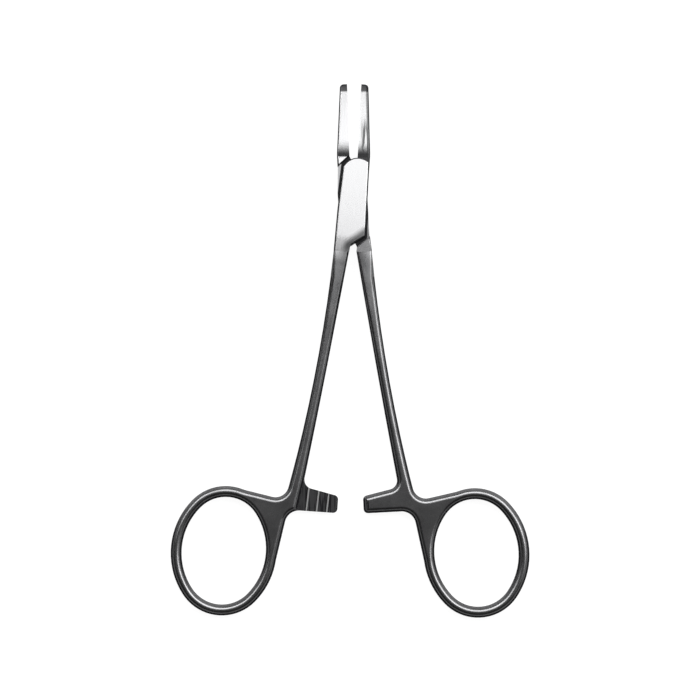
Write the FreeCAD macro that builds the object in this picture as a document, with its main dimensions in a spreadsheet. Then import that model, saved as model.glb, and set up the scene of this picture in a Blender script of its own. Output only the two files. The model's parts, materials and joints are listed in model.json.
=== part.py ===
import FreeCAD, Part
import os
import math

import Sketcher
from FreeCAD import Placement, Rotation, Vector

# Needle holder with a box lock, finger rings and a three-step ratchet.
# Frame: the instrument lies flat, +Z up, jaws towards +Y, origin on the pivot axis at the level it lies on.
# Each half is drawn closed, with its middle plane at z = 0, and its placement opens it by half the jaw angle.
# A length "side" is measured across from the middle line, "down" towards the rings, "up" towards the jaws.

SIZES = {
    # opening at rest, and how far every cut runs past the metal
    "jaw_angle": 7,
    "overrun": 4,
    # box: two plates with the slot between them
    "box_thickness": 4.8,
    "box_edge_radius": 0.55,
    "box_left_up": 7.75,
    "box_left_top": 3.08,
    "box_left_down": 2.5,
    "box_left_middle": 3.62,
    "box_bow_radius": 20,
    "box_right_up": 9.35,
    "box_right_top": 3.28,
    "box_right_down": 8.65,
    "box_right_foot": 3.58,
    "box_foot_radius": 0.7,
    "nose_side": 0.61,
    "nose_up": 11.1,
    "nose_radius": 3.9,
    "nose_edge": 0.25,
    "crotch_side": 0.05,
    "crotch_down": 11.2,
    "slope_down": 9,
    "slope_radius": 30,
    "shank_top_thickness": 4.5,
    # shoulders of the tongue half, which stand clear of the box
    "shoulder_outer_up": 8.1,
    "shoulder_inner_up": 10.55,
    "shoulder_gap": 0.18,
    "shoulder_edge": 0.3,
    # tongue, and the mortise that it turns in
    "tongue_thickness": 2.0,
    "slide_gap": 0.05,
    "tongue_top_side": 3.2,
    "tongue_side": 3.66,
    "tongue_corner_side": 3.58,
    "tongue_corner_down": 1.9,
    "tongue_bow_radius": 10,
    "tongue_root": 0.9,
    "tongue_inset": 0.12,
    "crotch_clear": 0.25,
    "mortise_gap": 0.12,
    "mortise_past": 0.3,
    # pivot pin
    "pin_radius": 1.0,
    "pin_gap": 0.03,
    # jaws
    "jaw_reach": 27.9,
    "jaw_root_thickness": 4.6,
    "jaw_thickness": 3.7,
    "jaw_tip_thickness": 2.7,
    "jaw_point_thickness": 1.7,
    "jaw_bevel": 1.7,
    "jaw_root_side": 3.34,
    "jaw_root_up": 11,
    "jaw_bow_radius": 10,
    "jaw_root_depth": 2,
    "jaw_tip_side": 1.72,
    "jaw_slit": 0.34,
    "jaw_slit_up": 14,
    "jaw_contact_slit": 0.05,
    "jaw_contact_up": 22.5,
    "jaw_tip_slit": 0.03,
    "jaw_tip_radius": 0.9,
    "jaw_edge_radius": 0.45,
    "dip_start": 10.25,
    "dip_length": 2.4,
    "dip_radius": 32,
    # shank, from the box to the handle
    "shank_start": 12.5,
    "shank_end": 66.5,
    "shank_outer_start": 3.85,
    "shank_outer_end": 10.07,
    "shank_outer_bow": 0.99,
    "shank_inner_start": 0.1,
    "shank_inner_end": 6.83,
    "shank_inner_bow": 0.15,
    "shank_hollow": 0.3,
    "shank_overlap": 0.05,
    "shank_inset": 0.03,
    # handle: finger ring, web and ratchet arm
    "handle_thickness": 3.0,
    "handle_bevel": 0.85,
    "ring_inner_side": 12.4,
    "ring_top_drop": 4.15,
    "ring_half_length": 15.6,
    "ring_half_width": 12.75,
    "ring_end_ease": 1.55,
    "ring_wall": 2.65,
    "ring_lean": 2,
    "neck_side": 11.3,
    "neck_drop": 6.55,
    "neck_end_aside": 2.15,
    "neck_end_sink": 0.33,
    "neck_radius": 3.2,
    "web_in": 0.85,
    "web_foot_in": 0.21,
    "web_foot_drop": 2.2,
    "web_radius": 3.4,
    "blend_radius": 8,
    "arm_reach": 1.4,
    "arm_drop": 8.85,
    "arm_top_drop": 4.75,
    "arm_slope": 0.2035,
    "arm_tip_radius": 1.05,
    "arm_root_radius": 2.2,
    "arm_gap": 0.05,
    "step_slant": 0.165,
    # ratchet teeth
    "tooth_pitch": 2.45,
    "tooth_depth": 0.5,
    "tooth_land": 0.5,
    "tooth_flank": 0.15,
    "tooth_first_side": 6.06,
    "tooth_drop": 6.1,
    "tooth_rise": 5,
    "tooth_run": 9,
    "tooth_skim": 0.02,
}
TEETH = 3
SHANK_STATIONS = 4
RING_SIDE = "(size.ring_inner_side + size.ring_half_width)"
RING_DROP = "(size.ring_top_drop + size.ring_half_length)"
HAIR = 1e-4

doc = FreeCAD.newDocument("needle_holder")


def make_sheet():
    """Write the driving dimensions, in millimetres and degrees, into a spreadsheet."""
    sheet = doc.addObject("Spreadsheet::Sheet", "size")
    for row, (word, number) in enumerate(SIZES.items(), 1):
        sheet.set(f"A{row}", word)
        sheet.set(f"B{row}", str(number))
        sheet.setAlias(f"B{row}", word)
    doc.recompute()
    return sheet


size_sheet = make_sheet()


def value(expression):
    """Give the number that an expression on the sheet stands for."""
    return float(size_sheet.evalExpression(str(expression).replace("size.", "")))


def new_body(name):
    """Start a body, drawn about the middle plane."""
    return doc.addObject("PartDesign::Body", name)


def set_in_place(piece, turn):
    """Lift a piece so that it lies on the frame's origin level, and turn it about the pivot."""
    piece.setExpression("Placement.Base.z", "size.box_thickness / 2")
    piece.setExpression("Placement.Rotation.Angle", turn)
    return piece


def join(name, bodies):
    """Forge bodies into one piece."""
    piece = doc.addObject("Part::MultiFuse", name)
    piece.Shapes = bodies
    doc.recompute()
    return piece


def new_sketch(body, name, role, offset="0", turn="0"):
    """Put a sketch on an origin plane of the body, moved along its normal and turned about its upright."""
    sketch = body.newObject("Sketcher::SketchObject", name)
    plane = next(item for item in body.Origin.OriginFeatures if item.Role == role)
    sketch.AttachmentSupport = (plane, [""])
    sketch.MapMode = "FlatFace"
    sketch.AttachmentOffset = Placement(Vector(0, 0, 0), Rotation(Vector(0, 1, 0), 1))
    sketch.setExpression(".AttachmentOffset.Base.z", offset)
    sketch.setExpression(".AttachmentOffset.Rotation.Angle", turn)
    return sketch


def bind(sketch, made, names):
    """Name the constraints that were just made and tie them to their expressions."""
    for index, (name, expression) in zip(made, names):
        if name:
            sketch.renameConstraint(index, name)
            sketch.setExpression(f"Constraints.{name}", expression)


def outline(sketch, corners, tag="p"):
    """Draw a closed outline. Each corner is (x, y) or (x, y, radius), all expressions on the sheet."""
    points = [Vector(value(corner[0]), value(corner[1]), 0) for corner in corners]
    radii = [value(corner[2]) if len(corner) > 2 else 0 for corner in corners]
    count = len(corners)
    arrive, leave, middle = [], [], []
    for index, here in enumerate(points):
        back = (points[index - 1] - here).normalize()
        ahead = (points[(index + 1) % count] - here).normalize()
        half_angle = back.getAngle(ahead) / 2
        cut = radii[index] / math.tan(half_angle)
        arrive.append(here + back * cut)
        leave.append(here + ahead * cut)
        reach = radii[index] / math.sin(half_angle) - radii[index]
        middle.append(here + (back + ahead).normalize() * reach)
    lines = [
        sketch.addGeometry(Part.LineSegment(leave[index], arrive[(index + 1) % count]))
        for index in range(count)
    ]
    rules, names = [], []
    for index in range(count):
        before, after, here = lines[index - 1], lines[index], points[index]
        if radii[index] == 0:
            rules.append(Sketcher.Constraint("Coincident", before, 2, after, 1))
            names.append(("", ""))
            anchor = after
        else:
            turns_left = (here - arrive[index]).cross(leave[index] - here).z > 0
            ends = (arrive[index], leave[index]) if turns_left else (leave[index], arrive[index])
            first, last = (1, 2) if turns_left else (2, 1)
            bend = sketch.addGeometry(Part.Arc(ends[0], middle[index], ends[1]))
            anchor = sketch.addGeometry(Part.Point(here), True)
            rules += [
                Sketcher.Constraint("Tangent", before, 2, bend, first),
                Sketcher.Constraint("Tangent", bend, last, after, 1),
                Sketcher.Constraint("PointOnObject", anchor, 1, before),
                Sketcher.Constraint("PointOnObject", anchor, 1, after),
                Sketcher.Constraint("Radius", bend, radii[index]),
            ]
            names += [("", "")] * 4 + [(f"{tag}{index}_radius", corners[index][2])]
        rules.append(Sketcher.Constraint("DistanceX", -1, 1, anchor, 1, here.x))
        rules.append(Sketcher.Constraint("DistanceY", -1, 1, anchor, 1, here.y))
        names += [(f"{tag}{index}_x", corners[index][0]), (f"{tag}{index}_y", corners[index][1])]
    bind(sketch, sketch.addConstraint(rules), names)


def oval(sketch, shank, inset):
    """Draw the finger ring's leaning oval, made of four arcs and drawn in by the inset."""
    lean = f"{shank} * size.ring_lean"
    end_radius = "(size.ring_half_width - size.ring_end_ease)"
    long_way = f"(size.ring_half_length - {end_radius})"
    squares = f"({long_way}^2 + size.ring_half_width^2 - {end_radius}^2)"
    side_radius = f"({squares} / (2 * size.ring_end_ease))"
    short_way = f"({side_radius} - size.ring_half_width)"
    centres = []
    for up, out in ((1, 0), (0, -1), (-1, 0), (0, 1)):
        along, aside = f"{up} * {long_way}", f"{out} * {short_way}"
        centres.append((
            f"{shank} * {RING_SIDE} - {along} * sin({lean}) - {aside} * cos({lean})",
            f"-size.shank_end - {RING_DROP} + {along} * cos({lean}) - {aside} * sin({lean})",
        ))
    radii = [f"({radius} - {inset})" for radius in (end_radius, side_radius) * 2]
    places = [Vector(value(x), value(y), 0) for x, y in centres]
    joints = []
    for index in range(4):
        end, flank = (index, index - 1) if index % 2 == 0 else (index - 1, index)
        ray = (places[end] - places[flank]).normalize()
        joints.append(places[end] + ray * value(radii[end]))
    middle = (places[0] + places[2]) / 2
    arcs = []
    for index in range(4):
        way = (places[index] - middle).normalize() * (1 if index % 2 == 0 else -1)
        crest = places[index] + way * value(radii[index])
        arcs.append(sketch.addGeometry(Part.Arc(joints[index], crest, joints[(index + 1) % 4])))
    rules, names = [], []
    for index, arc in enumerate(arcs):
        rules += [
            Sketcher.Constraint("Tangent", arc, 2, arcs[(index + 1) % 4], 1),
            Sketcher.Constraint("Radius", arc, value(radii[index])),
        ]
        names += [("", ""), (f"arc{index}_radius", radii[index])]
    for index in (0, 2):
        rules += [
            Sketcher.Constraint("DistanceX", -1, 1, arcs[index], 3, places[index].x),
            Sketcher.Constraint("DistanceY", -1, 1, arcs[index], 3, places[index].y),
        ]
        names += [(f"arc{index}_x", centres[index][0]), (f"arc{index}_y", centres[index][1])]
    bind(sketch, sketch.addConstraint(rules), names)


def circle(sketch, radius):
    """Draw a circle about the pivot."""
    ring = sketch.addGeometry(Part.Circle(Vector(0, 0, 0), Vector(0, 0, 1), value(radius)))
    made = sketch.addConstraint([
        Sketcher.Constraint("Coincident", ring, 3, -1, 1),
        Sketcher.Constraint("Radius", ring, value(radius)),
    ])
    bind(sketch, made, [("", ""), ("radius", radius)])


def extrude(body, kind, name, sketch, depth="", one_way=0):
    """Add a Pad or a Pocket, both ways about its sketch or one way along (1) or against (-1) the normal."""
    feature = body.newObject(f"PartDesign::{kind}", name)
    feature.Profile = sketch
    if one_way == 0:
        feature.SideType = "Symmetric"
    feature.Reversed = one_way == (1 if kind == "Pocket" else -1)
    if depth:
        feature.setExpression("Length", depth)
    else:
        feature.Type = "ThroughAll"
    doc.recompute()
    return feature


def edge_feature(body, kind, name, test, size):
    """Round (Fillet) or bevel (Chamfer) every edge so far that the test picks."""
    base = body.Tip
    edges = [f"Edge{number}" for number, edge in enumerate(base.Shape.Edges, 1) if test(edge)]
    feature = body.newObject(f"PartDesign::{kind}", name)
    feature.Base = (base, edges)
    feature.setExpression("Radius" if kind == "Fillet" else "Size", size)
    doc.recompute()
    return feature


def middle_of(edge):
    """Give the point halfway along an edge."""
    return edge.valueAt((edge.FirstParameter + edge.LastParameter) / 2)


def is_upright(edge):
    """Tell whether an edge runs straight along Z."""
    box = edge.BoundBox
    return box.ZLength > 0.2 and box.XLength < HAIR and box.YLength < HAIR


def is_level(edge, height):
    """Tell whether an edge lies level at a height above or below the middle plane."""
    box = edge.BoundBox
    return box.ZLength < HAIR and abs(abs(box.ZMin) - height) < HAIR


def near(point, x, y, reach):
    """Tell whether a point lies within a reach of a place in plan."""
    return math.hypot(point.x - x, point.y - y) < reach


def make_box(body):
    """Build the box of the box half: its plates, the slope towards the shank and its rounded edges."""
    plates = new_sketch(body, "box_outline", "XY_Plane")
    outline(plates, [
        ("-size.shank_outer_start", "-size.shank_start"),
        ("-size.box_left_middle", "-size.box_left_down", "size.box_bow_radius"),
        ("-size.box_left_top", "size.box_left_up"),
        ("-size.nose_side", "size.nose_up", "size.nose_radius"),
        ("size.box_right_top", "size.box_right_up"),
        ("size.box_right_foot", "-size.box_right_down", "size.box_foot_radius"),
        ("size.crotch_side", "-size.crotch_down"),
        ("-size.shank_inner_start", "-size.shank_start"),
    ])
    extrude(body, "Pad", "box", plates, "size.box_thickness")
    make_slope(body)

    def on_long_side(edge):
        point = middle_of(edge)
        above_shank = point.y > -value("size.shank_start") + 0.01
        left = point.x < -value("size.box_left_top") + 0.02 and above_shank
        right = point.x > value("size.box_right_top") - 0.02
        return (left or right) and not is_upright(edge)

    edge_feature(body, "Fillet", "box_edges", on_long_side, "size.box_edge_radius")

    def on_nose(edge):
        above = middle_of(edge).y > value("size.box_left_up")
        return above and is_level(edge, value("size.box_thickness / 2"))

    edge_feature(body, "Chamfer", "nose_edges", on_nose, "size.nose_edge")


def make_slope(body):
    """Thin the piece from the flat of the box towards the shank, on both faces."""
    slope = new_sketch(body, "slope_profile", "YZ_Plane")
    for face in (1, -1):
        outline(slope, [
            ("-size.slope_down", f"{face} * size.box_thickness / 2", "size.slope_radius"),
            ("-size.shank_start", f"{face} * size.shank_top_thickness / 2"),
            ("-size.shank_start", f"{face} * size.box_thickness"),
            ("size.overrun - size.slope_down", f"{face} * size.box_thickness"),
            ("size.overrun - size.slope_down", f"{face} * size.box_thickness / 2"),
        ], "up" if face == 1 else "low")
    extrude(body, "Pocket", "slope", slope)


def make_jaw(body, hand, feet):
    """Build the smooth jaw above its two feet."""
    plan = new_sketch(body, "jaw_outline", "XY_Plane")
    outer_foot, inner_foot = feet
    outline(plan, [
        (f"{hand} * size.jaw_root_side", outer_foot),
        (f"{hand} * size.jaw_root_side", "size.jaw_root_up", "size.jaw_bow_radius"),
        (f"{hand} * size.jaw_tip_side", "size.jaw_reach", "size.jaw_tip_radius"),
        (f"{hand} * size.jaw_tip_slit", "size.jaw_reach"),
        (f"{hand} * size.jaw_contact_slit", "size.jaw_contact_up"),
        (f"{hand} * size.jaw_slit", "size.jaw_slit_up"),
        (f"{hand} * size.jaw_slit", inner_foot),
    ])
    extrude(body, "Pad", "jaw", plan, "size.jaw_root_thickness")


def shape_jaw(body):
    """Thin the jaw from its root to its bevelled tip, on both faces."""
    profile = new_sketch(body, "jaw_profile", "YZ_Plane")
    for face in (1, -1):
        outline(profile, [
            ("size.dip_start", f"{face} * size.jaw_root_thickness / 2"),
            ("size.dip_start + size.dip_length", f"{face} * size.jaw_thickness / 2", "size.dip_radius"),
            ("size.jaw_reach - size.jaw_bevel", f"{face} * size.jaw_tip_thickness / 2"),
            ("size.jaw_reach", f"{face} * size.jaw_point_thickness / 2"),
            ("size.jaw_reach", f"{face} * size.jaw_root_thickness"),
            ("size.dip_start", f"{face} * size.jaw_root_thickness"),
        ], "up" if face == 1 else "low")
    extrude(body, "Pocket", "jaw_faces", profile)


def round_jaw(body):
    """Round the back of the jaw along both faces."""
    root, tip = value("size.jaw_root_up"), value("size.jaw_reach")
    taper = (value("size.jaw_root_side") - value("size.jaw_tip_side")) / (tip - root)

    def on_back(edge):
        point = middle_of(edge)
        side = value("size.jaw_root_side") - taper * max(point.y - root, 0)
        above = point.y > value("size.shoulder_outer_up") + 0.2
        return above and abs(abs(point.x) - side) < 0.05 and not is_upright(edge)

    edge_feature(body, "Fillet", "jaw_edges", on_back, "size.jaw_edge_radius")


def make_shank(body, hand):
    """Loft the shank through rounded sections. Its edges bow and its thickness thins towards the handle."""
    sketches = []
    for station in range(SHANK_STATIONS):
        share = station / (SHANK_STATIONS - 1)
        bow = 4 * share * (1 - share)
        past = f"{1 - 2 * share} * size.shank_overlap"
        down = between("shank_start", "shank_end", share, past)
        outer = between("shank_outer_start", "shank_outer_end", share, f"{bow} * size.shank_outer_bow")
        inner = between("shank_inner_start", "shank_inner_end", share, f"{bow} * size.shank_inner_bow")
        thick = between("shank_top_thickness", "handle_thickness", share, f"{bow} * size.shank_hollow")
        edge = f"({thick} / 2 - size.shank_inset)"
        bevel = between("box_edge_radius", "handle_bevel", share, "0")
        section = new_sketch(body, f"shank_section_{station + 1}", "XZ_Plane", down)
        high = f"({edge} - {bevel})"
        corners = []
        for side, inward, face in ((outer, -1, 1), (outer, -1, -1), (inner, 1, -1), (inner, 1, 1)):
            wall = f"({side} + {inward} * size.shank_inset)"
            ends = [
                (f"{-hand} * ({wall} + {inward} * {bevel})", f"{face} * {edge}"),
                (f"{-hand} * {wall}", f"{face} * {high}"),
            ]
            corners += ends if inward * face < 0 else ends[::-1]
        outline(section, corners)
        sketches.append(section)
    loft = body.newObject("PartDesign::AdditiveLoft", "shank")
    loft.Profile = sketches[0]
    loft.Sections = sketches[1:]
    doc.recompute()


def between(start, end, share, bow):
    """Give the expression a share of the way from one size to another, less a bow."""
    return f"(size.{start} + {share} * (size.{end} - size.{start}) - {bow})"


def make_handle(body, hand):
    """Build the web with its ratchet arm, the finger ring, the milled step and the rounded edges."""
    shank = -hand
    reach = "(size.arm_reach + size.shank_inner_end)"
    fall = f"(size.arm_top_drop - size.arm_slope * {reach})"
    root_down = f"{fall} / (1 + size.arm_slope * size.step_slant)"
    root_side = f"(size.shank_inner_end + size.step_slant * {root_down})"
    root = (f"{shank} * {root_side}", f"-size.shank_end - {root_down}")
    plan = new_sketch(body, "web_outline", "XY_Plane")
    outline(plan, [
        (f"{shank} * size.shank_outer_end", "-size.shank_end"),
        (f"{shank} * size.neck_side", "-size.shank_end - size.neck_drop", "size.neck_radius"),
        (
            f"{shank} * ({RING_SIDE} - size.neck_end_aside)",
            "-size.shank_end - size.ring_top_drop - size.neck_end_sink",
        ),
        (
            f"{shank} * (size.ring_inner_side + size.web_foot_in)",
            f"-size.shank_end - {RING_DROP} - size.web_foot_drop",
        ),
        (f"{shank} * (size.neck_side - size.web_in)", "-size.shank_end - size.arm_drop", "size.web_radius"),
        (f"{hand} * size.arm_reach", "-size.shank_end - size.arm_drop", "size.arm_tip_radius"),
        (f"{hand} * size.arm_reach", "-size.shank_end - size.arm_top_drop", "size.arm_tip_radius"),
        root,
        (f"{shank} * size.shank_inner_end", "-size.shank_end"),
    ])
    extrude(body, "Pad", "web", plan, "size.handle_thickness")
    disc = new_sketch(body, "ring_outline", "XY_Plane")
    oval(disc, shank, "0")
    extrude(body, "Pad", "ring", disc, "size.handle_thickness")
    hole = new_sketch(body, "finger_hole_outline", "XY_Plane")
    oval(hole, shank, "size.ring_wall")
    extrude(body, "Pocket", "finger_hole", hole)
    make_step(body, hand)
    round_handle(body, hand, root)


def make_step(body, hand):
    """Mill the arm to half its thickness on the face that carries the teeth."""
    shank = -hand
    step = new_sketch(body, "step_outline", "XY_Plane", f"{-hand} * size.arm_gap")
    low = "(size.arm_drop + size.overrun)"
    outline(step, [
        (f"{shank} * size.shank_inner_end", "-size.shank_end"),
        (f"{shank} * (size.shank_inner_end + size.step_slant * {low})", f"-size.shank_end - {low}"),
        (f"{hand} * (size.arm_reach + size.overrun)", f"-size.shank_end - {low}"),
        (f"{hand} * (size.arm_reach + size.overrun)", "-size.shank_end"),
    ])
    extrude(body, "Pocket", "arm_step", step, "size.handle_thickness", hand)


def round_handle(body, hand, root):
    """Blend the web into the ring and the arm into the shank, then round all outer edges of the handle."""
    half = value("size.handle_thickness / 2")
    end = -value("size.shank_end")
    side, level = value(RING_SIDE), end - value(RING_DROP)
    across, along = value("size.ring_half_width"), value("size.ring_half_length")

    def at_ring(edge):
        point = middle_of(edge)
        out = math.hypot((abs(point.x) - side) / across, (point.y - level) / along)
        joins_web = abs(point.x) < side and point.y > level - across / 2
        return is_upright(edge) and abs(out - 1) < 0.02 and joins_web

    edge_feature(body, "Fillet", "ring_blends", at_ring, "size.blend_radius")

    def at_root(edge):
        return is_upright(edge) and near(middle_of(edge), value(root[0]), value(root[1]), 0.05)

    edge_feature(body, "Fillet", "arm_root_blend", at_root, "size.arm_root_radius")

    def on_face(edge):
        return is_level(edge, half) and middle_of(edge).y < end - HAIR

    edge_feature(body, "Chamfer", "handle_edges", on_face, "size.handle_bevel")


def make_teeth(body, hand):
    """Cut the ratchet's gullets into the arm. Their flat crests stand a gap clear of the middle plane."""
    shank = -hand
    middle = "(size.tooth_first_side - size.tooth_pitch)"
    lean = f"{middle} / (size.shank_end + size.tooth_drop)"
    start = "((size.shank_end + size.tooth_drop) - size.tooth_rise)"
    gullets = new_sketch(body, "gullets_profile", "XZ_Plane", start, f"{shank} * atan({lean})")
    skim = f"{hand} * (size.tooth_skim - size.arm_gap)"
    foot = f"{shank} * (size.arm_gap + size.tooth_depth)"
    for tooth in range(TEETH):
        crest = f"(size.tooth_first_side - {tooth} * size.tooth_pitch - {lean} * size.tooth_rise)"
        outline(gullets, [
            (f"{shank} * ({crest} + size.tooth_pitch - size.tooth_land)", skim),
            (f"{shank} * ({crest} + size.tooth_flank)", foot),
            (f"{shank} * {crest}", skim),
        ], f"tooth{tooth}_")
    extrude(body, "Pocket", "gullets", gullets, "size.tooth_run", 1)


def make_mortise(body):
    """Cut the slot through the box that the tongue turns in. It opens left above and right below."""
    slot = new_sketch(body, "mortise_outline", "XY_Plane")
    corner_side = "(size.tongue_corner_side + size.mortise_gap / 2)"
    corner_down = "(size.tongue_corner_down + size.mortise_gap)"
    top, bottom = "size.shoulder_inner_up + size.mortise_past", "-size.crotch_down - size.mortise_past"
    left, right = "-size.box_left_top - size.overrun", "size.box_right_foot + size.overrun"
    outline(slot, [
        (corner_side, corner_down),
        ("-size.jaw_slit + size.mortise_gap", top),
        (left, top),
        (left, f"-{corner_down}"),
        (f"-{corner_side}", f"-{corner_down}"),
        ("size.crotch_side + size.crotch_clear", bottom),
        (right, bottom),
        (right, corner_down),
    ])
    extrude(body, "Pocket", "mortise", slot, "size.tongue_thickness + 2 * size.slide_gap")


def make_tongue(body, hand):
    """Build the flat tongue of the tongue half, and the head of its shank below the lower shoulder."""
    shank = -hand
    foot = (f"{shank} * (size.crotch_side + size.crotch_clear)", "-size.crotch_down - size.shoulder_gap / 2")
    blade = new_sketch(body, "tongue_outline", "XY_Plane")
    outline(blade, [
        (f"{hand} * size.tongue_top_side", "size.shoulder_outer_up + size.tongue_root"),
        (f"{hand} * size.tongue_side", "size.tongue_corner_down", "size.tongue_bow_radius"),
        (f"{hand} * size.tongue_corner_side", "-size.tongue_corner_down"),
        foot,
        (f"{shank} * (size.crotch_side + 2 * size.crotch_clear)", "size.tongue_inset - size.shank_start"),
        (f"{shank} * (size.box_right_foot - size.tongue_inset)", "size.tongue_inset - size.shank_start"),
        (f"{shank} * (size.tongue_corner_side - size.tongue_inset)", "size.tongue_corner_down"),
        (f"{hand} * size.jaw_slit", "size.shoulder_inner_up"),
        (f"{hand} * (size.jaw_slit + size.tongue_root)", "size.shoulder_inner_up + size.tongue_root"),
    ])
    extrude(body, "Pad", "tongue", blade, "size.tongue_thickness")
    head = new_sketch(body, "head_outline", "XY_Plane")
    outline(head, [
        (f"{shank} * size.shank_outer_start", "-size.shank_start"),
        (f"{shank} * size.box_right_foot", "-size.box_right_down - size.shoulder_gap"),
        foot,
        (f"{shank} * size.shank_inner_start", "-size.shank_start"),
    ])
    extrude(body, "Pad", "shank_head", head, "size.box_thickness")


def bevel_shoulders(body):
    """Bevel the two shoulders of the tongue half, which face the box."""
    side, thickness = value("size.box_right_foot"), value("size.tongue_thickness")

    def on_shoulder(edge):
        ends = [vertex.Point for vertex in edge.Vertexes]
        run, rise = abs(ends[0].x - ends[-1].x), abs(ends[0].y - ends[-1].y)
        point = middle_of(edge)
        slanted = edge.Curve.TypeId == "Part::GeomLine" and run > rise > run / 4
        return slanted and abs(point.x) < side and abs(point.z) > thickness

    edge_feature(body, "Chamfer", "shoulder_edges", on_shoulder, "size.shoulder_edge")


def round_head(body, hand):
    """Round the outer side of the shank's head."""

    def on_outer_side(edge):
        point = middle_of(edge)
        outside = point.x * -hand > value("size.box_right_foot") - 0.02
        high = abs(point.z) > value("size.tongue_thickness")
        return outside and high and point.y > -value("size.shank_start") + 0.01

    edge_feature(body, "Fillet", "head_edges", on_outer_side, "size.box_edge_radius")


def make_bore(body, name, radius):
    """Bore the hole for the pivot pin."""
    sketch = new_sketch(body, f"{name}_outline", "XY_Plane")
    circle(sketch, radius)
    extrude(body, "Pocket", name, sketch)


def make_handle_and_shank(name, hand):
    """Build the handle and the shank of one half."""
    handle = new_body(f"{name}_handle")
    make_handle(handle, hand)
    make_teeth(handle, hand)
    shank = new_body(f"{name}_shank")
    make_shank(shank, hand)
    return [shank, handle]


def make_box_half():
    """Build the half with the box: right jaw, left shank and ring, left arm with teeth on its front."""
    head = new_body("box_half_head")
    make_box(head)
    make_jaw(head, 1, ("size.box_right_up - size.jaw_root_depth",) * 2)
    shape_jaw(head)
    round_jaw(head)
    make_mortise(head)
    make_bore(head, "pin_hole", "size.pin_radius")
    piece = join("box_half", [head] + make_handle_and_shank("box_half", 1))
    return set_in_place(piece, "-size.jaw_angle / 2")


def make_tongue_half():
    """Build the half with the tongue: left jaw, right shank and ring, right arm with teeth on its back."""
    head = new_body("tongue_half_head")
    make_tongue(head, -1)
    make_jaw(head, -1, ("size.shoulder_outer_up", "size.shoulder_inner_up"))
    bevel_shoulders(head)
    round_head(head, -1)
    make_slope(head)
    shape_jaw(head)
    round_jaw(head)
    make_bore(head, "pin_bore", "size.pin_radius + size.pin_gap")
    piece = join("tongue_half", [head] + make_handle_and_shank("tongue_half", -1))
    return set_in_place(piece, "size.jaw_angle / 2")


def make_pin():
    """Build the pivot pin, pressed into both plates and ground flush with them."""
    body = new_body("pivot_pin")
    section = new_sketch(body, "pin_outline", "XY_Plane")
    circle(section, "size.pin_radius")
    extrude(body, "Pad", "pin", section, "size.box_thickness")
    return set_in_place(body, "0")


def check_and_write(bodies):
    """Stop on any failed object or bad solid, then write one STEP file for each piece."""
    doc.recompute()
    failed = [item.Label for item in doc.Objects if {"Invalid", "Error"} & set(item.State)]
    if failed:
        raise RuntimeError(f"failed objects: {failed}")
    for body in bodies:
        if body.Shape.isNull() or not body.Shape.isValid():
            raise RuntimeError(f"bad shape: {body.Label}")
    os.makedirs("parts", exist_ok=True)
    for body in bodies:
        body.Shape.exportStep(f"parts/{body.Label}.step")
        print(body.Label, len(body.Shape.Solids), round(body.Shape.Volume, 2))


check_and_write([make_box_half(), make_tongue_half(), make_pin()])
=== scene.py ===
import json
import logging
import math
from dataclasses import dataclass, field
from enum import Enum

import bmesh
import bpy
from mathutils import Matrix, Vector

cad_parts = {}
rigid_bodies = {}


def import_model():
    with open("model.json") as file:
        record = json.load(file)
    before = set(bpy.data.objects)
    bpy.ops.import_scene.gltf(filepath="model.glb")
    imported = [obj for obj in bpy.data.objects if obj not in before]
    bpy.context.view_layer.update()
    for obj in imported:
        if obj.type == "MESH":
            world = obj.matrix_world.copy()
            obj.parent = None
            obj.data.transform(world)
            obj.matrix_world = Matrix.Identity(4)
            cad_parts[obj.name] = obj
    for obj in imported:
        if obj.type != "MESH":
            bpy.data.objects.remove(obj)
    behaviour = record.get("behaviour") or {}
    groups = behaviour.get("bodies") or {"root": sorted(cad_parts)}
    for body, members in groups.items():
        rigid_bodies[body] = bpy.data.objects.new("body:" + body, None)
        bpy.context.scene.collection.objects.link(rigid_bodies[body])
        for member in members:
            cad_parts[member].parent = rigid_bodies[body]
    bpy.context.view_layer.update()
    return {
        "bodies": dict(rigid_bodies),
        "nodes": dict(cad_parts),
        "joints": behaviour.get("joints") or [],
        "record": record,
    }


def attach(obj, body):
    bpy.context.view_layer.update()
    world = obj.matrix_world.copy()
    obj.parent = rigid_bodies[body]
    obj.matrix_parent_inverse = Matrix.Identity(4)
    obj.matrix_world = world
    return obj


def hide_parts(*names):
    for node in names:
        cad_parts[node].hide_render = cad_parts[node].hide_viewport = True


log = logging.getLogger("needle_holder")

Pair = tuple[float, float]
Triple = tuple[float, float, float]
Feeds = dict[str | int, object]

MM = 0.001
MIDDLE = 2.4 * MM
PIN = "pivot_pin"


class Half(Enum):
    """The two forged halves, by the name that their solid and their body share."""

    BOX = "box_half"
    TONGUE = "tongue_half"


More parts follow.
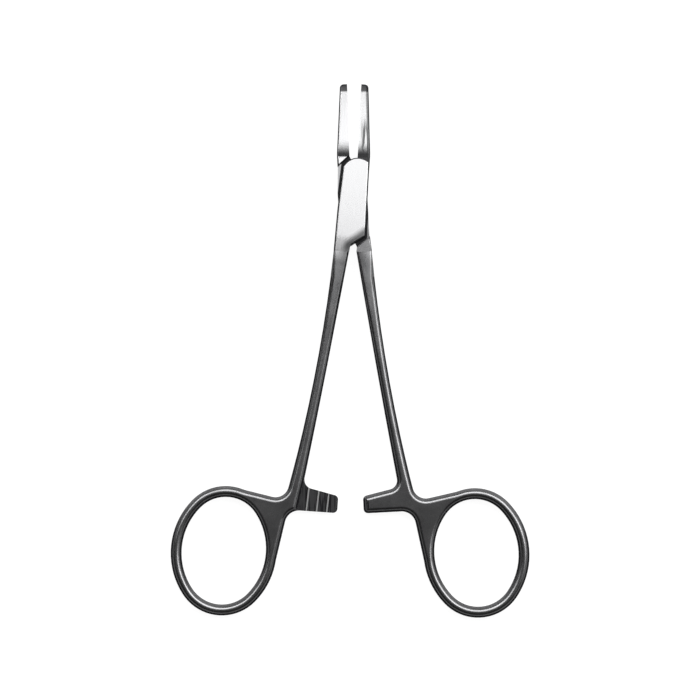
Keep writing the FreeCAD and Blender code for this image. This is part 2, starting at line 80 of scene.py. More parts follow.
@dataclass(frozen=True)
class SteelFinish:
    """One steel finish: its tones at both ends of the instrument, the tones of its painted shade and
    highlights, and the marks left by finishing.
    """

    name: str
    # bright and dark: the working end's and the handles' tones; the handles' darker tone is partly their
    # finish and partly painted shade, fading in between the fade levels
    bright: Triple = (0.86, 0.86, 0.87)
    dark: Triple = (0.3, 0.3, 0.306)
    # side: painted shade, near black and matte, on steep faces; wall: a lighter painted shade on upright
    # faces
    side: Triple = (0.02, 0.02, 0.022)
    wall: Triple = (0.3, 0.3, 0.31)
    # painted shadow on the tongue deep inside the box
    recess_shade: Triple = (0.02, 0.02, 0.021)
    # the tone of the painted shade where a jaw rises from the box, on the sloping plate and on the jaw's back
    root: Triple = (0.055, 0.055, 0.057)
    # painted highlight lines on the crests of the ratchet's teeth
    crest_highlight: Triple = (0.4, 0.4, 0.4)
    fade_start: float = -11.0 * MM
    fade_end: float = -15.5 * MM
    root_end: float = 0.0
    bright_roughness: float = 0.26
    dark_roughness: float = 0.24
    mark_depth: float = 0.012
    # shade: how strongly shade is painted on the sloping plate and on the back of the jaw
    shade: float = 0.0
    # how strongly light and shade are painted round the seam of the tongue's head and its shank
    seam_light: float = 0.0

    def zone_levels(self) -> dict[str, float]:
        """Give the levels that the zone group asks for, by the names of its inputs."""
        return {
            "Fade start": self.fade_start,
            "Fade end": self.fade_end,
            "Root end": self.root_end,
            "Shade": self.shade,
            "Seam light": self.seam_light,
        }


@dataclass(frozen=True)
class MarkPlan:
    """The noises behind the finishing marks, and how they change the steel's tone.

    A tone is a factor on the noise and what is added to it.
    """

    stroke_scale: float = 5200.0
    stroke_length: float = 260.0
    stroke_detail: float = 3.0
    stroke_tone: Pair = (0.12, 0.94)
    grain_scale: float = 3600.0
    grain_detail: float = 4.0
    grain_roughness: float = 0.65
    grain_tone: Pair = (0.5, 0.75)
    cloud_scale: float = 160.0
    cloud_tone: Pair = (1.1, 0.47)
    streak_scale: float = 2600.0
    streak_length: float = 120.0
    bump_distance: float = 0.1 * MM


@dataclass(frozen=True)
class ZonePlan:
    """Where the zones of the finish lie on a half.

    A band gives the level where a mask starts, at 0, and the level where it is full, at 1. A way is the
    direction along which a zone's band is measured, and a share is how strong a part of a mask is.
    """

    box_side: Pair = (0.97, 0.82)
    handle_side: Pair = (0.87, 0.69)
    wall: Pair = (0.3, 0.12)
    facing_jaws: Pair = (0.1, 0.6)
    facing_share: float = 0.5
    tip: Pair = (25.75 * MM, 26.3 * MM)
    tip_share: float = 0.86
    tip_end: Pair = (26.5 * MM, 27.8 * MM)
    tip_end_share: float = 0.1
    recess_height: Pair = (1.2 * MM, 1.1 * MM)
    recess_top: Pair = (11.2 * MM, 10.9 * MM)
    recess_foot: Pair = (-13.0 * MM, -12.7 * MM)
    bare_left_way: Triple = (-1.0, 0.1148, 0.0)
    bare_left: Pair = (3.85 * MM, 4.0 * MM)
    bare_right_way: Triple = (1.0, -0.0445, 0.0)
    bare_right: Pair = (3.76 * MM, 3.91 * MM)
    bare_share: float = 0.55
    root: Pair = (13.8 * MM, 10.9 * MM)
    root_height: Pair = (2.37 * MM, 2.33 * MM)
    slope_shade_way: Triple = (0.585, -0.81, 0.0)
    slope_shade: Pair = (6.2 * MM, 8.0 * MM)
    slope_shade_left: Pair = (-3.4 * MM, -1.2 * MM)
    streaks: Pair = (0.38, 0.5)
    back: Pair = (1.5 * MM, 2.3 * MM)
    back_top: Pair = (21.0 * MM, 16.5 * MM)
    back_foot: Pair = (10.5 * MM, 12.0 * MM)
    rim_way: Triple = (1.0, 0.0345, 0.0)
    rim: Pair = (3.55 * MM, 3.95 * MM)
    arm: Pair = (-60 * MM, -61 * MM)
    arm_height: Pair = (0.7 * MM, 0.65 * MM)
    land_height: Pair = (0.1 * MM, 0.06 * MM)
    teeth: Pair = (4.9 * MM, 5.1 * MM)
    tooth_aside: float = 0.99388
    tooth_along: float = 0.11054
    tooth_start: float = 2.446 * MM
    tooth_pitch: float = 2.45 * MM
    tooth_crest: Pair = (0.84, 0.89)
    scratch_share: float = 0.12
    seam_way: Triple = (-0.06105, 0.99813, 0.0)
    seam: Pair = (-12.45 * MM, -12.6 * MM)
    seam_light_head: Pair = (-8.6 * MM, -9.6 * MM)
    seam_light_head_share: float = 0.6
    seam_light_neck: Pair = (-12.6 * MM, -15.5 * MM)
    seam_light_neck_share: float = 0.33
    seam_light_shank: Pair = (-26.0 * MM, -15.5 * MM)
    seam_light_shank_share: float = 0.2


@dataclass(frozen=True)
class Studio:
    """The plain studio: pale floor, soft panel over the jaws, dark sky with lit parts, camera straight above.

    The sky's bands are read on the direction looked in: its height, or its reach towards a part's own way.
    """

    floor_half: float = 12.0
    floor_tone: float = 0.8
    floor_faint_tone: float = 0.25
    floor_glow: float = 0.93
    camera_height: float = 1.0
    camera_reach: Pair = (0.01, 50.0)
    field_width: float = 0.1687
    look_at: Pair = (-0.45 * MM, -36.04 * MM)
    camera_up: Pair = (-0.0087, 0.99996)
    panel_height: float = 0.3
    panel_near: float = -0.017
    panel_far: float = 0.09
    panel_left: float = -0.11
    panel_right: float = 0.19
    panel_level: float = 1.2
    sky_level: float = 0.03
    low_sky_level: float = 0.45
    low_sky: Pair = (0.5, 0.25)
    zenith_level: float = 0.08
    zenith: Pair = (0.8, 0.97)
    side_glow_level: float = 0.42
    side_glow_from: Triple = (0.62, 0.45, 0.64)
    side_glow: Pair = (0.6, 0.97)
    strip_level: float = 4.2
    strip_from: Triple = (0.2, 0.98, 0.0)
    strip_ahead: Pair = (-0.1, 0.35)
    strip_foot: Pair = (0.62, 0.72)
    strip_top: Pair = (0.89, 0.83)


class Nodes:
    """Small helper that places and links shader nodes in one tree."""

    columns_apart = 180
    rows_apart = 160
    rows = 4

    def __init__(self, tree: bpy.types.NodeTree) -> None:
        """Keep the tree and start from the left.

        Args:
            tree: The node tree to fill.
        """
        self.tree = tree
        self.count = 0

    @classmethod
    def afresh(cls, owner: bpy.types.ID) -> "Nodes":
        """Start an empty tree for a material or a world.

        Args:
            owner: The material or the world.

        Returns:
            The helper for its tree.
        """
        owner.use_nodes = True
        owner.node_tree.nodes.clear()
        return cls(owner.node_tree)

    def add(self, kind: str, feeds: Feeds | None = None, **values: object) -> bpy.types.Node:
        """Place a node, set its properties and feed its inputs.

        Args:
            kind: The node's type name.
            feeds: What goes into the inputs, by name or place: outputs of other nodes, or plain values.
            values: Properties of the node, set as they are.

        Returns:
            The new node.
        """
        node = self.tree.nodes.new(kind)
        node.location = (self.count * self.columns_apart, -(self.count % self.rows) * self.rows_apart)
        self.count += 1
        for word, given in values.items():
            setattr(node, word, given)
        for key, given in (feeds or {}).items():
            self.feed(node.inputs[key], given)
        return node

    def feed(self, socket: bpy.types.NodeSocket, given: object) -> None:
        """Link an output to an input, or set the input's own value.

        Args:
            socket: The input.
            given: An output of another node, or a plain value.
        """
        if isinstance(given, bpy.types.NodeSocket):
            self.tree.links.new(given, socket)
        else:
            socket.default_value = given

    def math(self, operation: str, *given: object, clamp: bool = False) -> bpy.types.NodeSocket:
        """Place a math node fed by one to three sockets or numbers, and give its result."""
        feeds = dict(enumerate(given))
        return self.add("ShaderNodeMath", feeds, operation=operation, use_clamp=clamp).outputs[0]

    def times(self, first: object, *others: object) -> bpy.types.NodeSocket:
        """Multiply sockets or numbers, from the first to the last.

        Args:
            first: A socket or a number.
            others: One or more sockets or numbers.

        Returns:
            The product's socket.
        """
        for other in others:
            first = self.math("MULTIPLY", first, other)
        return first

    def rest(self, value: bpy.types.NodeSocket) -> bpy.types.NodeSocket:
        """Give what is left of 1 when a value is taken away."""
        return self.math("SUBTRACT", 1.0, value)

    def toned(self, noise: bpy.types.NodeSocket, tone: Pair) -> bpy.types.NodeSocket:
        """Turn a noise into a factor on the steel's lightness, by a tone from the mark plan."""
        return self.math("MULTIPLY_ADD", noise, *tone)

    def ramp(self, value: bpy.types.NodeSocket, band: Pair) -> bpy.types.NodeSocket:
        """Turn a value into a smooth 0 to 1 step between two levels.

        Args:
            value: The value to read.
            band: Where the step starts, at 0, and where it ends, at 1. The end may be below the start.

        Returns:
            The step's socket.
        """
        low, high = band
        ends = (low, high, 0.0, 1.0) if low < high else (high, low, 1.0, 0.0)
        feeds = dict(zip(("From Min", "From Max", "To Min", "To Max"), ends))
        return self.step(value, feeds)

    def step(self, value: bpy.types.NodeSocket, feeds: dict[str, object]) -> bpy.types.NodeSocket:
        """Place a smooth step whose ends are fed by name."""
        feeds = {"Value": value, **feeds}
        return self.add("ShaderNodeMapRange", feeds, interpolation_type="SMOOTHSTEP").outputs["Result"]

    def reach(self, place: bpy.types.NodeSocket, way: Triple | Vector) -> bpy.types.NodeSocket:
        """Measure how far a point lies along a direction."""
        return self.add("ShaderNodeVectorMath", {0: place, 1: way}, operation="DOT_PRODUCT").outputs["Value"]

    def fade(self, factor: object, first: object, second: object) -> bpy.types.NodeSocket:
        """Mix two numbers: the first where the factor is 0, the second where it is 1."""
        return self.add("ShaderNodeMix", {0: factor, 2: first, 3: second}, data_type="FLOAT").outputs[0]

    def mix(self, factor: object, first: object, second: object) -> bpy.types.NodeSocket:
        """Mix two colours: the first where the factor is 0, the second where it is 1."""
        feeds = {0: factor, 6: self.colour(first), 7: self.colour(second)}
        return self.add("ShaderNodeMix", feeds, data_type="RGBA").outputs[2]

    @staticmethod
    def colour(given: object) -> object:
        """Make a plain colour opaque, and leave a socket as it is."""
        return given if isinstance(given, bpy.types.NodeSocket) else (*given, 1.0)


def new_group(name: str, inputs: dict[str, float], outputs: tuple[str, ...]) -> bpy.types.NodeTree:
    """Start a node group whose sockets are all plain numbers.

    Args:
        name: The group's name.
        inputs: The inputs' names and their levels where nothing is fed.
        outputs: The outputs' names.

    Returns:
        The empty group.
    """
    group = bpy.data.node_groups.new(name, "ShaderNodeTree")
    for word, level in inputs.items():
        made = group.interface.new_socket(word, in_out="INPUT", socket_type="NodeSocketFloat")
        made.default_value = level
    for word in outputs:
        group.interface.new_socket(word, in_out="OUTPUT", socket_type="NodeSocketFloat")
    return group


def make_marks_group(plan: MarkPlan) -> bpy.types.NodeTree:
    """Build the finishing marks: long brush strokes along Y and a fine satin grain.

    Args:
        plan: The noises' sizes.

    Returns:
        A group that gives the strokes' and the grain's tone, each about a half.
    """
    inputs = {
        "Stroke scale": plan.stroke_scale,
        "Stroke length": plan.stroke_length,
        "Grain scale": plan.grain_scale,
    }
    group = new_group("finishing_marks", inputs, ("Strokes", "Grain"))
    nodes = Nodes(group)
    given = nodes.add("NodeGroupInput").outputs
    place = nodes.add("ShaderNodeTexCoord").outputs["Object"]
    scales = {"X": given["Stroke scale"], "Y": given["Stroke length"], "Z": given["Stroke scale"]}
    stretch = nodes.add("ShaderNodeCombineXYZ", scales).outputs[0]
    stretched = nodes.add("ShaderNodeVectorMath", {0: place, 1: stretch}, operation="MULTIPLY").outputs[0]
    feeds = {"Vector": stretched, "Scale": 1.0, "Detail": plan.stroke_detail}
    strokes = nodes.add("ShaderNodeTexNoise", feeds)
    feeds = {
        "Vector": place,
        "Scale": given["Grain scale"],
        "Detail": plan.grain_detail,
        "Roughness": plan.grain_roughness,
    }
    grain = nodes.add("ShaderNodeTexNoise", feeds)
    nodes.add("NodeGroupOutput", {"Strokes": strokes.outputs["Fac"], "Grain": grain.outputs["Fac"]})
    return group


class ZoneMaker:
    """Builds the group of masks that tell the zones of a half's finish from one another and say where shade
    and highlights are painted.
    """

    outputs = ("Working", "Side", "Wall", "Recess shade", "Root shade", "Shade", "Crest highlight", "Collar tone")

    def __init__(self, marks: bpy.types.NodeTree, mark_plan: MarkPlan) -> None:
        """Start the group and place what several masks read.

        Args:
            marks: The group of the finishing marks.
            mark_plan: The noises' sizes.
        """
        self.plan = ZonePlan()
        inputs = SteelFinish("plain").zone_levels()
        self.group = new_group("finish_zones", inputs, self.outputs)
        self.nodes = Nodes(self.group)
        self.given = self.nodes.add("NodeGroupInput").outputs
        place = self.nodes.add("ShaderNodeTexCoord").outputs
        self.place = place["Object"]
        apart = self.nodes.add("ShaderNodeSeparateXYZ", {0: self.place}).outputs
        self.x, self.y = apart["X"], apart["Y"]
        self.aside = self.nodes.math("ABSOLUTE", self.x)
        self.height = self.nodes.math("ABSOLUTE", self.nodes.math("SUBTRACT", apart["Z"], MIDDLE))
        self.normal = self.nodes.add("ShaderNodeSeparateXYZ", {0: place["Normal"]}).outputs
        self.tilt = self.nodes.math("ABSOLUTE", self.normal["Z"])
        feeds = {"Stroke scale": mark_plan.streak_scale, "Stroke length": mark_plan.streak_length}
        coarse = self.nodes.add("ShaderNodeGroup", feeds, node_tree=marks).outputs
        self.streaks = self.nodes.ramp(coarse["Strokes"], self.plan.streaks)

    def build(self) -> bpy.types.NodeTree:
        """Build all masks.

        Returns:
            A group that gives Working, 1 at the jaws and the box, masks of painted shade on steep faces and,
            lighter, on upright ones alone, Wall, 1 on those upright faces, masks of painted shadow on the
            tongue deep inside the box and of painted shade where a jaw rises from the box, Shade, painted
            shade on the sloping plate and, streaked, on the back of the jaw, a mask of painted highlight
            lines on the crests of the ratchet's teeth, and a factor on the lightness that paints light and
            shade round the seam of the tongue's head and its shank.
        """
        ends = {"From Min": self.given["Fade end"], "From Max": self.given["Fade start"]}
        working = self.nodes.step(self.y, ends)
        arm = self.make_arm_shade()
        masks = {
            "Working": working,
            # The ratchet arm's toothed faces take the same painted shade as the steep faces.
            "Side": self.nodes.math("MAXIMUM", self.make_side_shade(working), arm),
            "Wall": self.nodes.ramp(self.tilt, self.plan.wall),
            "Recess shade": self.make_recess_shade(),
            "Root shade": self.make_root_shade(),
            "Shade": self.make_shade(working),
            "Crest highlight": self.make_crest_highlight(arm),
            "Collar tone": self.make_seam_light(),
        }
        self.nodes.add("NodeGroupOutput", masks)
        return self.group

    def make_side_shade(self, working: bpy.types.NodeSocket) -> bpy.types.NodeSocket:
        """Mask where shade is painted: the steep faces, less where they face the jaws, and the jaw tips.

        Args:
            working: The mask of the jaws and the box.

        Returns:
            The mask's socket.
        """
        nodes, plan = self.nodes, self.plan
        # Steep faces that face the jaws, towards the light, get less painted shade.
        facing = nodes.times(nodes.ramp(self.normal["Y"], plan.facing_jaws), plan.facing_share)
        handle_side = nodes.times(nodes.ramp(self.tilt, plan.handle_side), nodes.rest(facing))
        side = nodes.fade(working, handle_side, nodes.ramp(self.tilt, plan.box_side))
        # The jaw tips' bevels get painted shade, darker towards the very end.
        tip = nodes.times(nodes.ramp(self.y, plan.tip), plan.tip_share)
        tip_end = nodes.times(nodes.ramp(self.y, plan.tip_end), plan.tip_end_share)
        return nodes.math("MAXIMUM", side, nodes.math("ADD", tip, tip_end))

    def make_recess_shade(self) -> bpy.types.NodeSocket:
        """Mask painted shadow on the tongue deep inside the box, lighter where it is bare.

        Returns:
            The mask's socket.
        """
        nodes, plan = self.nodes, self.plan
        deep = nodes.ramp(self.height, plan.recess_height)
        below_jaw = nodes.ramp(self.y, plan.recess_top)
        above_shank = nodes.ramp(self.y, plan.recess_foot)
        left = nodes.ramp(nodes.reach(self.place, plan.bare_left_way), plan.bare_left)
        right = nodes.ramp(nodes.reach(self.place, plan.bare_right_way), plan.bare_right)
        bare = nodes.times(nodes.math("MAXIMUM", left, right), plan.bare_share)
        return nodes.times(deep, below_jaw, above_shank, nodes.rest(bare))

    def make_root_shade(self) -> bpy.types.NodeSocket:
        """Mask painted shade in the dip where a jaw rises from the box.

        Returns:
            The mask's socket.
        """
        nodes, plan = self.nodes, self.plan
        dip = nodes.ramp(self.y, plan.root)
        under_plate = nodes.ramp(self.height, plan.root_height)
        past_shoulder = nodes.math("GREATER_THAN", self.y, self.given["Root end"])
        return nodes.times(dip, under_plate, past_shoulder)

    def make_shade(self, working: bpy.types.NodeSocket) -> bpy.types.NodeSocket:
        """Mask painted shade where the plate's face slopes down, and painted shade, streaked, on the back of
        the jaw and along its back edge.

        Args:
            working: The mask of the jaws and the box.

        Returns:
            The mask's socket.
        """
        nodes, plan = self.nodes, self.plan
        # Painted shade where the plate's face slopes down towards the shank.
        slope_shade = nodes.ramp(nodes.reach(self.place, plan.slope_shade_way), plan.slope_shade)
        slope_shade = nodes.times(slope_shade, working, nodes.ramp(self.x, plan.slope_shade_left))
        back = nodes.times(nodes.ramp(self.x, plan.back), self.streaks, nodes.ramp(self.y, plan.back_top))
        rim = nodes.ramp(nodes.reach(self.place, plan.rim_way), plan.rim)
        back = nodes.times(nodes.math("MAXIMUM", back, rim), nodes.ramp(self.y, plan.back_foot))
        return nodes.times(nodes.math("ADD", slope_shade, back, clamp=True), self.given["Shade"])

    def make_arm_shade(self) -> bpy.types.NodeSocket:
        """Mask the milled faces of the ratchet arm, painted with shade between the teeth's crests."""
        nodes, plan = self.nodes, self.plan
        return nodes.times(nodes.ramp(self.height, plan.arm_height), nodes.ramp(self.y, plan.arm))

    def make_crest_highlight(self, arm: bpy.types.NodeSocket) -> bpy.types.NodeSocket:
        """Mask painted highlight lines on the crests of the teeth, with faint scratches all over the arm.

        Args:
            arm: The mask of the milled faces.

        Returns:
            The mask's socket.
        """
        nodes, plan = self.nodes, self.plan
        land = nodes.times(nodes.ramp(self.height, plan.land_height), arm)
        aside = nodes.times(self.aside, plan.tooth_aside)
        across = nodes.math("ADD", aside, nodes.times(self.y, plan.tooth_along))
        pitches = nodes.math("DIVIDE", nodes.math("ADD", across, plan.tooth_start), plan.tooth_pitch)
        # A thin painted highlight line at the top of each tooth.
        highlight_line = nodes.ramp(nodes.math("FRACT", pitches), plan.tooth_crest)
        highlight_line = nodes.times(land, highlight_line, nodes.ramp(self.aside, plan.teeth))
        return nodes.math("MAXIMUM", highlight_line, nodes.times(arm, self.streaks, plan.scratch_share))

    def make_seam_light(self) -> bpy.types.NodeSocket:
        """Paint light and shade on both sides of the seam of the tongue's head and its shank, to even out
        their lightness.

        Returns:
            The socket of a factor on the lightness, 1 away from the seam.
        """
        nodes, plan = self.nodes, self.plan
        past_seam = nodes.ramp(nodes.reach(self.place, plan.seam_way), plan.seam)
        head = nodes.times(nodes.ramp(self.y, plan.seam_light_head), plan.seam_light_head_share)
        head = nodes.times(head, nodes.rest(past_seam))
        falling = nodes.ramp(self.y, plan.seam_light_neck)
        glow = nodes.times(nodes.rest(falling), plan.seam_light_neck_share)
        dim = nodes.times(falling, nodes.ramp(self.y, plan.seam_light_shank), plan.seam_light_shank_share)
        neck = nodes.times(nodes.math("SUBTRACT", glow, dim), past_seam)
        seam_light = nodes.times(nodes.math("ADD", head, neck), self.given["Seam light"])
        return nodes.math("ADD", seam_light, 1.0)


class SteelMaker:
    """Builds steel materials from finishes, with the shared node groups placed in each."""

    def __init__(self) -> None:
        """Build the groups once."""
        self.plan = MarkPlan()
        self.marks = make_marks_group(self.plan)
        self.zones = ZoneMaker(self.marks, self.plan).build()

    def make(self, finish: SteelFinish) -> bpy.types.Material:
        """Build one material.

        Args:
            finish: The tones and marks to give it.

        Returns:
            The material.
        """
        material = bpy.data.materials.new(finish.name)
        nodes = Nodes.afresh(material)
        zones = nodes.add("ShaderNodeGroup", finish.zone_levels(), node_tree=self.zones).outputs
        marks = nodes.add("ShaderNodeGroup", node_tree=self.marks).outputs
        working, side, wall = zones["Working"], zones["Side"], zones["Wall"]
        lightness = self.make_lightness(nodes, zones, marks)
        height = nodes.fade(working, marks["Grain"], marks["Strokes"])
        bump_feeds = {"Strength": finish.mark_depth, "Distance": self.plan.bump_distance, "Height": height}
        feeds = {
            "Base Color": self.make_colour(nodes, zones, lightness, finish),
            # Where shade is painted on steep faces the steel is matte, not metal, so it stays dark.
            "Metallic": nodes.rest(nodes.times(side, nodes.rest(wall))),
            "Roughness": nodes.fade(working, finish.dark_roughness, finish.bright_roughness),
            "Specular IOR Level": 0.0,
            "Normal": nodes.add("ShaderNodeBump", bump_feeds).outputs["Normal"],
        }
        shader = nodes.add("ShaderNodeBsdfPrincipled", feeds)
        nodes.add("ShaderNodeOutputMaterial", {"Surface": shader.outputs[0]})
        return material

    def make_lightness(
        self,
        nodes: Nodes,
        zones: bpy.types.bpy_prop_collection,
        marks: bpy.types.bpy_prop_collection,
    ) -> bpy.types.NodeSocket:
        """Turn the marks into a factor on the lightness.

        The working end shows the strokes, the handles the grain with soft clouds in it.

        Args:
            nodes: The material's nodes.
            zones: The zone group's outputs.
            marks: The finishing marks' outputs.

        Returns:
            The factor's socket.
        """
        plan = self.plan
        clouds = nodes.add("ShaderNodeGroup", {"Grain scale": plan.cloud_scale}, node_tree=self.marks).outputs
        stroke = nodes.toned(marks["Strokes"], plan.stroke_tone)
        grain = nodes.toned(marks["Grain"], plan.grain_tone)
        cloudy = nodes.times(grain, nodes.toned(clouds["Grain"], plan.cloud_tone))
        # The factor also paints light and shade round the seam of the tongue's head and its shank.
        return nodes.times(nodes.fade(zones["Working"], cloudy, stroke), zones["Collar tone"])

    @staticmethod
    def make_colour(
        nodes: Nodes,
        zones: bpy.types.bpy_prop_collection,
        lightness: bpy.types.NodeSocket,
        finish: SteelFinish,
    ) -> bpy.types.NodeSocket:
        """Mix the finish's tones by their zones, with the painted shade and highlights.

        Args:
            nodes: The material's nodes.
            zones: The zone group's outputs.
            lightness: The factor that the marks give.
            finish: The tones.

        Returns:
            The colour's socket.
        """
        # The handles' darker tone is partly their finish and partly painted shade.
        tone = nodes.mix(zones["Working"], finish.dark, finish.bright)
        marked = nodes.add("ShaderNodeVectorMath", {0: tone, "Scale": lightness}, operation="SCALE")
        # Painted shade on the sloping plate and on the back of the jaw.
        shaded_tone = nodes.mix(zones["Shade"], marked.outputs[0], finish.root)
        # Painted shade where a jaw rises from the box.
        root_shaded = nodes.mix(zones["Root shade"], shaded_tone, finish.root)
        # Painted shadow on the tongue deep inside the box.
        deep = nodes.mix(zones["Recess shade"], root_shaded, finish.recess_shade)
        # Painted shade on steep faces, with painted highlight lines on the teeth's crests.
        steep = nodes.mix(zones["Crest highlight"], finish.side, finish.crest_highlight)
        # Steep faces take that painted shade; upright faces a lighter painted shade.
        return nodes.mix(zones["Side"], deep, nodes.mix(zones["Wall"], steep, finish.wall))


def keep_mesh(shape: bmesh.types.BMesh, name: str) -> bpy.types.Mesh:
    """Turn a worked shape into a mesh and free it.

    Args:
        shape: The shape.
        name: The mesh's name.

    Returns:
        The mesh.
    """
    mesh = bpy.data.meshes.new(name)
    shape.to_mesh(mesh)
    shape.free()
    return mesh


def place_object(name: str, data: bpy.types.ID) -> bpy.types.Object:
    """Put a mesh, a light or a camera into the scene.

    Args:
        name: The object's name.
        data: What it shows.

    Returns:
        The object.
    """
    placed = bpy.data.objects.new(name, data)
    bpy.context.scene.collection.objects.link(placed)
    return placed


@dataclass
class Forging:
    """One forged half: its solid's surface, merged and smoothed, in its steel."""

    half: Half
    finish: SteelFinish
    sharp_angle: float = math.radians(36)
    merge_distance: float = 0.0005 * MM
    flat_angle: float = math.radians(0.4)
    normal_weight: int = 80
    round_width: float = 0.45 * MM
    round_steps: int = 3
    bevel_angles: Pair = (math.radians(36), math.radians(54))
    bevel_top: float = -12.6 * MM
    bevel_height: float = 0.55 * MM
    seams: Pair = (-12.5 * MM, -66.5 * MM)
    seam_reach: float = 1.0 * MM
    seam_step: float = 0.07 * MM

    def build(self, frame: dict, steel: SteelMaker) -> bpy.types.Object:
        """Copy the solid's surface, merge it, shade it smooth and dress it.

        Args:
            frame: What the frame holds.
            steel: The maker of the steel materials.

        Returns:
            The finished piece.
        """
        name = f"{self.half.value}_forging"
        mesh = keep_mesh(self.make_shape(frame["nodes"][self.half.value]), name)
        piece = place_object(name, mesh)
        weight = piece.modifiers.new("flat_faces", "WEIGHTED_NORMAL")
        weight.keep_sharp = True
        weight.weight = self.normal_weight
        mesh.materials.append(steel.make(self.finish))
        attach(piece, self.half.value)
        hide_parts(self.half.value)
        log.info("%s: %d faces", piece.name, len(mesh.polygons))
        return piece

    def make_shape(self, solid: bpy.types.Object) -> bmesh.types.BMesh:
        """Copy a solid's surface, merge its faces, round the handle's bevels and mark sharp edges.

        Args:
            solid: The solid's object, left as it is.

        Returns:
            The worked shape.
        """
        shape = bmesh.new()
        shape.from_mesh(solid.data)
        bmesh.ops.remove_doubles(shape, verts=shape.verts, dist=self.merge_distance)
        bmesh.ops.dissolve_degenerate(shape, dist=self.merge_distance, edges=shape.edges)
        self.close_seams(shape)
        bmesh.ops.dissolve_limit(
            shape,
            angle_limit=self.flat_angle,
            verts=shape.verts,
            edges=shape.edges,
            use_dissolve_boundaries=False,
        )
        self.round_handle(shape)
        for face in shape.faces:
            face.smooth = True
        for edge in shape.edges:
            edge.smooth = edge.calc_face_angle(math.pi) < self.sharp_angle
        return shape

    def close_seams(self, shape: bmesh.types.BMesh) -> None:
        """Weld away the hairline steps where the shank meets the box and the handle.

        Args:
            shape: The merged surface, changed in place.
        """
        for level in self.seams:
            close = [vertex for vertex in shape.verts if abs(vertex.co.y - level) < self.seam_reach]
            bmesh.ops.remove_doubles(shape, verts=close, dist=self.seam_step)

    def round_handle(self, shape: bmesh.types.BMesh) -> None:
        """Round the bevelled edges of the shank, the ring and the arm.

        Args:
            shape: The merged surface, changed in place.
        """
        picked = [edge for edge in shape.edges if self.is_handle_bevel(edge)]
        bmesh.ops.bevel(
            shape,
            geom=picked,
            offset=self.round_width,
            offset_type="OFFSET",
            segments=self.round_steps,
            profile=0.5,
            affect="EDGES",
            clamp_overlap=False,
            material=-1,
        )
        log.info("%s: rounded %d edges", self.half.value, len(picked))

    def is_handle_bevel(self, edge: bmesh.types.BMEdge) -> bool:
        """Tell whether an edge borders one of the flat bevels that run round the handle and the shank.

        Args:
            edge: The edge to look at.

        Returns:
            True for a convex edge of about 45 degrees below the box, on the piece's upper or lower side.
        """
        if not edge.is_manifold or not edge.is_convex:
            return False
        least, most = self.bevel_angles
        bent = least < edge.calc_face_angle() < most
        low = all(vertex.co.y < self.bevel_top for vertex in edge.verts)
        outside = all(abs(vertex.co.z - MIDDLE) > self.bevel_height for vertex in edge.verts)
        return bent and low and outside


@dataclass
class Pivot:
    """The pivot pin, ground flush with the box."""

    finish: SteelFinish

    def build(self, frame: dict, steel: SteelMaker) -> None:
        """Give the pin its steel.

        Args:
            frame: What the frame holds.
            steel: The maker of the steel materials.
        """
        pin = frame["nodes"][PIN]
        pin.data.materials.clear()
        pin.data.materials.append(steel.make(self.finish))
        log.info("%s: dressed", PIN)


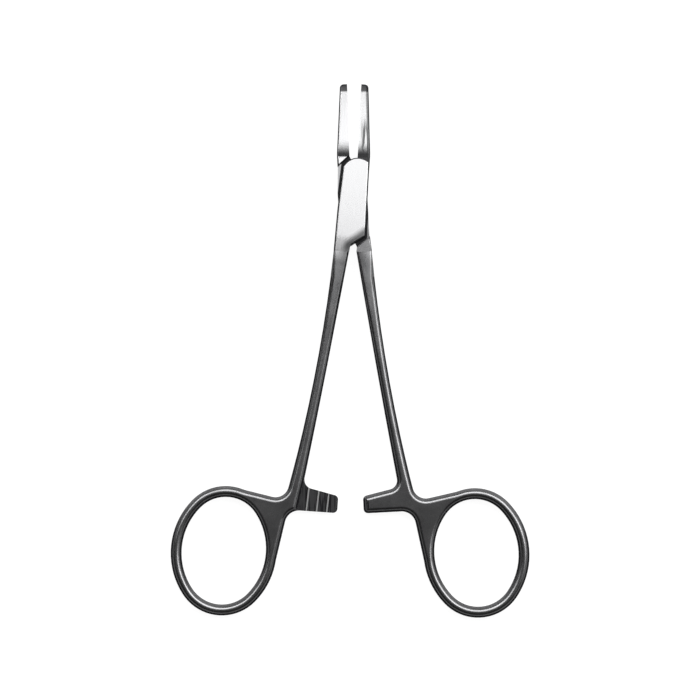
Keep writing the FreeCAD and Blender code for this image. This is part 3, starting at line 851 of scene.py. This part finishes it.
@dataclass
class Room:
    """The studio's floor, lights and camera."""

    studio: Studio = field(default_factory=Studio)

    def build(self) -> None:
        """Build everything that isn't the object."""
        self.make_floor()
        self.make_world()
        self.make_panel()
        self.make_camera()
        bpy.context.scene.view_settings.view_transform = "Standard"

    def make_floor(self) -> None:
        """Lay a wide pale floor that the camera and the steel see as near white and that keeps the shadow."""
        studio = self.studio
        shape = bmesh.new()
        bmesh.ops.create_grid(shape, x_segments=1, y_segments=1, size=studio.floor_half)
        mesh = keep_mesh(shape, "floor")
        floor = place_object("floor", mesh)
        material = bpy.data.materials.new("pale_floor")
        nodes = Nodes.afresh(material)
        path = nodes.add("ShaderNodeLightPath").outputs
        seen = nodes.math("MAXIMUM", path["Is Camera Ray"], path["Is Glossy Ray"])
        seen = nodes.math("MAXIMUM", seen, path["Is Transmission Ray"])
        plain, faint = (
            nodes.add("ShaderNodeBsdfDiffuse", {"Color": (tone, tone, tone, 1.0)})
            for tone in (studio.floor_tone, studio.floor_faint_tone)
        )
        glow = nodes.add("ShaderNodeEmission", {"Strength": studio.floor_glow})
        lit = nodes.add("ShaderNodeAddShader", {0: faint.outputs[0], 1: glow.outputs[0]})
        choice = nodes.add("ShaderNodeMixShader", {0: seen, 1: plain.outputs[0], 2: lit.outputs[0]})
        nodes.add("ShaderNodeOutputMaterial", {"Surface": choice.outputs[0]})
        mesh.materials.append(material)

    def make_world(self) -> None:
        """Light the room with a dark sky.

        It is a little lighter overhead, glows softly to one side, holds a bright strip beyond the jaws and
        is plain grey low down.
        """
        studio = self.studio
        world = bpy.data.worlds.new("studio")
        bpy.context.scene.world = world
        nodes = Nodes.afresh(world)
        place = nodes.add("ShaderNodeTexCoord").outputs["Generated"]
        high = nodes.add("ShaderNodeSeparateXYZ", {0: place}).outputs["Z"]
        aim = nodes.reach(place, Vector(studio.side_glow_from).normalized())
        glow = nodes.times(nodes.ramp(aim, studio.side_glow), studio.side_glow_level)
        top = nodes.times(nodes.ramp(high, studio.zenith), studio.zenith_level)
        ahead = nodes.ramp(nodes.reach(place, studio.strip_from), studio.strip_ahead)
        foot, head = nodes.ramp(high, studio.strip_foot), nodes.ramp(high, studio.strip_top)
        strip = nodes.times(foot, head, ahead, studio.strip_level)
        around = nodes.times(nodes.ramp(high, studio.low_sky), studio.low_sky_level)
        level = nodes.math("ADD", nodes.math("ADD", glow, top), nodes.math("ADD", strip, studio.sky_level))
        sky = nodes.add("ShaderNodeBackground", {"Strength": nodes.math("ADD", level, around)})
        nodes.add("ShaderNodeOutputWorld", {"Surface": sky.outputs[0]})

    def make_panel(self) -> None:
        """Hang the soft panel over the jaws and the box."""
        studio = self.studio
        length = studio.panel_far - studio.panel_near
        width = studio.panel_right - studio.panel_left
        light = bpy.data.lights.new("panel", "AREA")
        light.shape = "RECTANGLE"
        light.size = width
        light.size_y = length
        light.energy = studio.panel_level * math.pi * width * length
        panel = place_object("panel", light)
        centre_x = (studio.panel_left + studio.panel_right) / 2
        centre_y = (studio.panel_far + studio.panel_near) / 2
        panel.location = (centre_x, centre_y, studio.panel_height)
        panel.visible_camera = False

    def make_camera(self) -> None:
        """Hang a long lens straight above the middle of the view."""
        studio = self.studio
        data = bpy.data.cameras.new("camera")
        data.lens = data.sensor_width * studio.camera_height / studio.field_width
        data.clip_start, data.clip_end = studio.camera_reach
        camera = place_object("camera", data)
        up = Vector((*studio.camera_up, 0.0)).normalized()
        back = Vector((0.0, 0.0, 1.0))
        turn = Matrix((up.cross(back), up, back)).transposed().to_4x4()
        camera.matrix_world = Matrix.Translation((*studio.look_at, studio.camera_height)) @ turn
        bpy.context.scene.camera = camera


def main() -> None:
    """Build the object's pieces and the room."""
    logging.basicConfig(level=logging.INFO, format="%(name)s: %(message)s")
    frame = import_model()
    steel = SteelMaker()
    box_steel = SteelFinish("box_half_steel", root_end=8.5 * MM, shade=0.85)
    tongue_steel = SteelFinish(
        "tongue_half_steel", root_end=10.35 * MM, fade_start=-5.5 * MM, fade_end=-9.2 * MM, seam_light=1.0
    )
    Forging(Half.BOX, box_steel).build(frame, steel)
    Forging(Half.TONGUE, tongue_steel).build(frame, steel)
    Pivot(SteelFinish("pin_steel")).build(frame, steel)
    Room().build()


if __name__ == "__main__":
    main()
